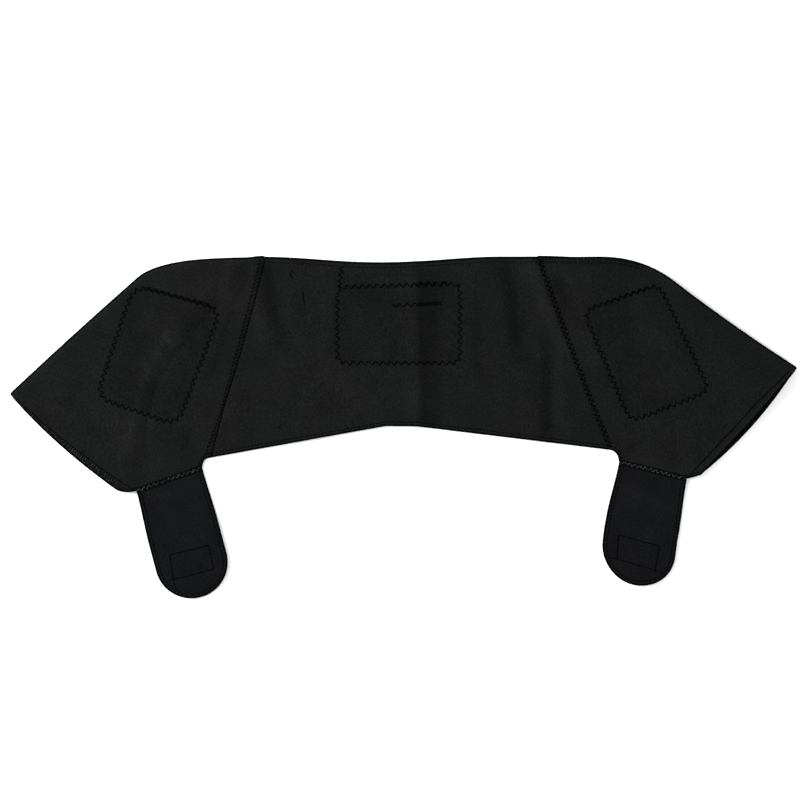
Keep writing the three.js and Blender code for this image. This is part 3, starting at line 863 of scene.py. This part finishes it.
class ThreadWork:
    def __init__(self):
        self.points, self.faces = [], []

    def tube(self, line, radius, sides=6):
        line = np.asarray(line, float)
        tangent = np.gradient(line, axis=0)
        tangent /= np.linalg.norm(tangent, axis=1)[:, None] + 1e-9
        flat = line[-1] - line[0]
        lateral = np.array([-flat[1], flat[0], 0])
        lateral /= np.linalg.norm(lateral) + 1e-9
        normal = np.cross(tangent, lateral)
        angle = np.arange(sides) * 2 * math.pi / sides
        first = len(self.points)
        for at, out in zip(line, normal):
            for turn in angle:
                self.points.append(at + radius * (math.cos(turn) * lateral + math.sin(turn) * out))
        for k in range(len(line) - 1):
            for j in range(sides):
                n = (j + 1) % sides
                self.faces.append((first + k * sides + j, first + k * sides + n,
                                   first + (k + 1) * sides + n, first + (k + 1) * sides + j))
        self.faces.append(tuple(first + j for j in reversed(range(sides))))
        self.faces.append(tuple(first + (len(line) - 1) * sides + j for j in range(sides)))

    def stitch(self, a, b, radius, rise=0.35, sink=0.35, count=5):
        a, b = np.asarray(a, float), np.asarray(b, float)
        shares = np.linspace(0, 1, count)
        places = a + (b - a) * shares[:, None]
        heights = [clothTop(*place) for place in places]
        if heights[0] is None or heights[-1] is None:
            return
        known = [k for k, height in enumerate(heights) if height is not None]
        heights = np.interp(range(count), known, [heights[k] for k in known])
        arch = np.sin(math.pi * shares) ** 0.6
        self.tube(np.column_stack([places, heights + rise * arch - sink * (1 - arch)]), radius)

    def piece(self, name, material):
        points = np.array(self.points)
        points[:, 2] = np.maximum(points[:, 2], stitching["lowest"])
        mesh = bpy.data.meshes.new(name)
        mesh.from_pydata((points * mm).tolist(), [], self.faces)
        mesh.polygons.foreach_set("use_smooth", np.ones(len(self.faces), bool))
        mesh.update()
        piece = linkPiece(name, mesh, material)
        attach(piece, "root")
        print(name, len(self.faces), "faces")


def inward(path, reach=4):
    # 1 where the path's left side lies on the cloth, -1 where its right side does
    points, _, normal = spaced(path, path["length"] / 9)
    votes = 0
    for at, aside in zip(points[1:-1], normal[1:-1] * reach):
        votes += (clothTop(*(at + aside)) is not None) - (clothTop(*(at - aside)) is not None)
    return 1 if votes >= 0 else -1


def offsets(offset, count):
    # one number, or a list of numbers spread evenly along the path
    return np.interp(np.linspace(0, 1, count), np.linspace(0, 1, np.size(offset)), np.atleast_1d(offset))


# How each line is sewn, in millimetres; thick is the thread as a share of stitching["thread"]
# Zigzags: width, step from one stitch to the next, thick, and 1 where it starts on the other side
zigzags = {
    "backPad": (5.0, 3.9, 1, 0),
    "backPadAgain": (5.0, 3.9, 1, 1),
    "backPadTail": (5.0, 3.4, 1, 0),
    "backPadMiddle": (4.0, 3.9, 1, 0),
    "backPadMiddleAgain": (4.0, 3.9, 1, 1),
    "sidePad": (5.0, 3.5, 1, 0),
    "sidePadAgain": (4.0, 3.5, 0.8, 1),
    "rightSeam": (4.4, 2.9, 1.05, 0),
    "strapSeam": (4.0, 2.8, 0.6, 1),
    "strapSeamCover": (3.4, 2.8, 0.8, 0),
}
# Rows: how far beside the line, step, thick, and how much of each step shows as thread
leftSeamOff, hemCoverOff = np.array([2.5, 2.5, 2.2, 1.0, 3.4]), np.array([7.98, 7.14, 4.62, 2.184])
stitchRows = {
    "leftSeam": (leftSeamOff, 3.6, 1.25, 0.85),
    "leftSeamOuter": (-leftSeamOff, 4.2, 1.15, 0.4),
    "rightSeam": (2.6, 3.9, 0.9, 0.5),
    "rightSeamOuter": (-2.6, 3.9, 0.7, 0.5),
    "strapSeam": (2.5, 3.4, 1.1, 0.7),
    "hookBox": (0, 3.2, 0.95, 0.85),
    "hookBoxEnd": (0, 3.2, 0.85, 0.85),
    "strapEdge": (4.6, 3.4, 0.95, 0.6),
    "capEdge": (3.6, 3.4, 0.95, 0.6),
    "backFoot": (4.4, 3.4, 0.95, 0.6),
    "leftHem": ((9.5, 8.5, 5.5, 2.6), 3.4, 1.15, 0.65),
    "rightHem": ((9.0, 9.5, 9.5, 5.0), 3.4, 1.15, 0.65),
    "hemEnd": (0, 3.3, 0.95, 0.8),
    "neck": (5.6, 3.2, 0.55, 0.7),
}
# Crossing threads: where they start and end beside the line, step, thick, and how many steps they slant
ladders = {
    "leftSeam": (-leftSeamOff, leftSeamOff, 4.2, 0.4, -0.7),
    "leftHemCover": (2.0, hemCoverOff, 2.9, 0.6, 0.5),
    "leftHemUnder": (hemCoverOff, 2.0, 2.9, 0.6, 0.5),
    "neck": (0.9, 2.8, 2.6, 0.6, 0.6),
    "overlockEdge": (0.8, 4.6, 3.2, 0.5, 0.9),
    "overlockRow": (4.8, 8.2, 3.2, 0.45, -0.9),
}
# Radius of the chain of thread along each cut edge
chains = {"strap": 1.05, "hem": 1.0, "fold": 1.15, "cap": 1.05, "backFoot": 1.05, "neck": 0.9}
chainStep = 2.6
# How uneven the thread is: loose and tight passes of a zigzag, and the swing of a crossing thread
pull = {"tight": 0.85, "loose": 1.08, "swing": 0.35}


def zigzag(work, path, name):
    wide, step, thick, phase = zigzags[name]
    points, _, normal = spaced(path, step)
    swing = np.where((np.arange(len(points)) + phase) % 2 == 0, 0.5, -0.5) * wide
    points = points + normal * swing[:, None]
    radius = stitching["thread"] * thick
    for k in range(len(points) - 1):
        # every other pass of the needle pulls its thread tighter
        work.stitch(points[k], points[k + 1], radius * pull["loose" if k % 2 else "tight"])


def dashes(work, path, name, side=1):
    off, step, thick, share = stitchRows[name]
    points, _, normal = spaced(path, step)
    points = points + normal * offsets(np.multiply(off, side), len(points))[:, None]
    for at, after in zip(points[:-1], points[1:]):
        work.stitch(at, lerp(at, after, share), stitching["thread"] * thick, rise=0.2)


def ladder(work, path, name, side=1):
    # cover thread crossing between two needle rows
    low, high, step, thick, slant = ladders[name]
    points, tangent, normal = spaced(path, step)
    low, high = (offsets(np.multiply(off, side), len(points)) for off in (low, high))
    for k in range(len(points) - 1):
        uneven = 1 + pull["swing"] * math.sin(k * 12.7) * math.sin(k * 3.1)
        start = points[k] + normal[k] * low[k]
        end = points[k] + normal[k] * high[k] + tangent[k] * step * slant * uneven
        work.stitch(start, end, stitching["thread"] * thick * (0.65 + 0.35 * uneven), rise=0.5)


def edgeChain(work, path, name):
    # chain of overlock thread that closes a cut edge
    radius = chains[name]
    points, _, normal = spaced(path, chainStep)
    points = points + normal * inward(path) * radius
    for a, b in zip(points[:-1], points[1:]):
        work.stitch(a, b, radius, rise=0.15, sink=0.3, count=4)


print("stitching helpers are ready")


# The sewing itself
work = ThreadWork()
zigzag(work, padLoops["backPad"], "backPad")
for name, line in stitching["backRuns"].items():
    zigzag(work, openLine(*line), name)
work.piece("back_pad_zigzag_stitching", darkThread)

for key in sides:
    work = ThreadWork()
    zigzag(work, padLoops[key + "Pad"], "sidePad")
    start, end = np.array(stitching[key + "Pad"][:2])
    zigzag(work, openLine(*[lerp(start, end, share) for share in stitching["padAgain"]]), "sidePadAgain")
    work.piece(key + "_pad_zigzag_stitching", darkThread)

    work = ThreadWork()
    strapSeam, strapEdge, hem = edgesOf[key + "Strap seam"], edgesOf[key + "Strap"], edgesOf[key + "Hem"]
    if key == "left":
        dashes(work, seamPaths[key], "leftSeamOuter")
        dashes(work, seamPaths[key], "leftSeam")
        ladder(work, seamPaths[key], "leftSeam")
    else:
        zigzag(work, seamPaths[key], "rightSeam")
        dashes(work, seamPaths[key], "rightSeam")
        dashes(work, seamPaths[key], "rightSeamOuter")
    dashes(work, strapSeam, "strapSeam", -1)
    dashes(work, strapSeam, "strapSeam", 1)
    zigzag(work, strapSeam, "strapSeam")
    work.piece(key + "_flat_seam_stitching", darkThread)

    work = ThreadWork()
    zigzag(work, strapSeam, "strapSeamCover")
    work.piece(key + "_strap_seam_cover_thread", coverThread)

    work = ThreadWork()
    hook = stitching[key + "Hook"]
    for line in zip(hook, hook[1:] + hook[:1]):
        dashes(work, openLine(*line), "hookBox")
    for line in stitching[key + "HookEnds"]:
        dashes(work, openLine(*line), "hookBoxEnd")
    dashes(work, strapEdge, "strapEdge", inward(strapEdge))
    edgeChain(work, strapEdge, "strap")
    work.piece(key + "_strap_stitching", darkThread)

    work = ThreadWork()
    side = inward(hem)
    dashes(work, hem, key + "Hem", side)
    first, _, aside = spaced(hem, 3)
    hemStart = first[0] + aside[0] * side * stitchRows[key + "Hem"][0][0]
    dashes(work, openLine(hemStart, strapSeam["points"][-1]), "hemEnd")
    edgeChain(work, hem, "hem")
    edgeChain(work, edgesOf[key + "Fold"], "fold")
    for part in (edgesOf[key + "Fillet"], edgesOf[key + "Nose"]):
        dashes(work, part, "capEdge", inward(part))
        edgeChain(work, part, "cap")
    work.piece(key + "_hem_stitching", darkThread)
    if key == "left":
        # its band is covered by thread in two shades
        for layer, material in (("Cover", coverThread), ("Under", darkThread)):
            work = ThreadWork()
            ladder(work, hem, "leftHem" + layer, side)
            work.piece("left_hem_" + layer.lower() + "_thread", material)

work = ThreadWork()
foot, neck, nick = edgesOf["backFoot"], edgesOf["neck"], stitching["nick"]
dashes(work, foot, "backFoot", inward(foot))
edgeChain(work, foot, "backFoot")
edgeChain(work, neck, "neck")
ladder(work, neck, "neck", inward(neck))
dashes(work, neck, "neck", inward(neck))
for a, b in zip(nick[:-1], nick[1:]):
    work.stitch(a, b, stitching["thread"] * stitching["nickThick"])
work.stitch(*stitching["looseThread"], stitching["thread"] * stitching["looseThick"], count=9)
work.piece("back_edge_stitching", darkThread)

work = ThreadWork()
fold = edgesOf["rightFold"]["points"]
overlocked = makePath(fold[fold[:, 0] < stitching["overlockEnd"]])
ladder(work, overlocked, "overlockEdge", inward(overlocked))
ladder(work, overlocked, "overlockRow", inward(overlocked))
work.piece("right_top_overlock_thread", darkThread)

print("threads are sewn")

# Every piece rides on the one body and stands for its solid
for node, piece in pieces.items():
    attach(piece, "root")
    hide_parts(node)


# Plain floor and soft studio light
floorSettings = {"size": 9, "dark": "#f7f7f7", "light": "#fdfdfd", "drop": 0.0004, "rough": 1, "specular": 0}
lightSettings = {
    "world": 1.05,
    "key": {"from": (-2.1, 0.8, 2.3), "size": 1.2, "power": 132},
    "fill": {"from": (2.2, -1.4, 2.6), "size": 3.0, "power": 34},
}


def makeFloor(s):
    half = s["size"] / 2
    mesh = bpy.data.meshes.new("floor")
    mesh.from_pydata([(-half, -half, -s["drop"]), (half, -half, -s["drop"]), (half, half, -s["drop"]),
                      (-half, half, -s["drop"])], [], [(0, 1, 2, 3)])
    material, tree, shader, place = newMaterial("white matt studio card")
    grain = addNode(tree, "ShaderNodeTexNoise", {"Scale": 3, "Detail": 2}, {"Vector": place})
    surface(tree, shader, mixed(tree, grain.outputs["Fac"], s["dark"], s["light"]), s)
    linkPiece("floor", mesh, material)


def makeLight(name, s):
    data = bpy.data.lights.new(name, "AREA")
    data.size, data.energy = s["size"], s["power"]
    light = bpy.data.objects.new(name, data)
    light.location = s["from"]
    back = [-v for v in s["from"]]
    yaw, pitch = math.atan2(back[1], back[0]), math.atan2(math.hypot(back[0], back[1]), -back[2])
    light.rotation_euler = (pitch, 0, yaw - math.pi / 2)
    bpy.context.scene.collection.objects.link(light)


def makeWorld(strength):
    world = bpy.data.worlds.new("studio")
    world.use_nodes = True
    background = world.node_tree.nodes["Background"]
    background.inputs["Color"].default_value = (1, 1, 1, 1)
    background.inputs["Strength"].default_value = strength
    bpy.context.scene.world = world


makeFloor(floorSettings)
makeLight("key light", lightSettings["key"])
makeLight("fill light", lightSettings["fill"])
makeWorld(lightSettings["world"])
bpy.context.scene.view_settings.view_transform = "Standard"
print("stage and light are ready")
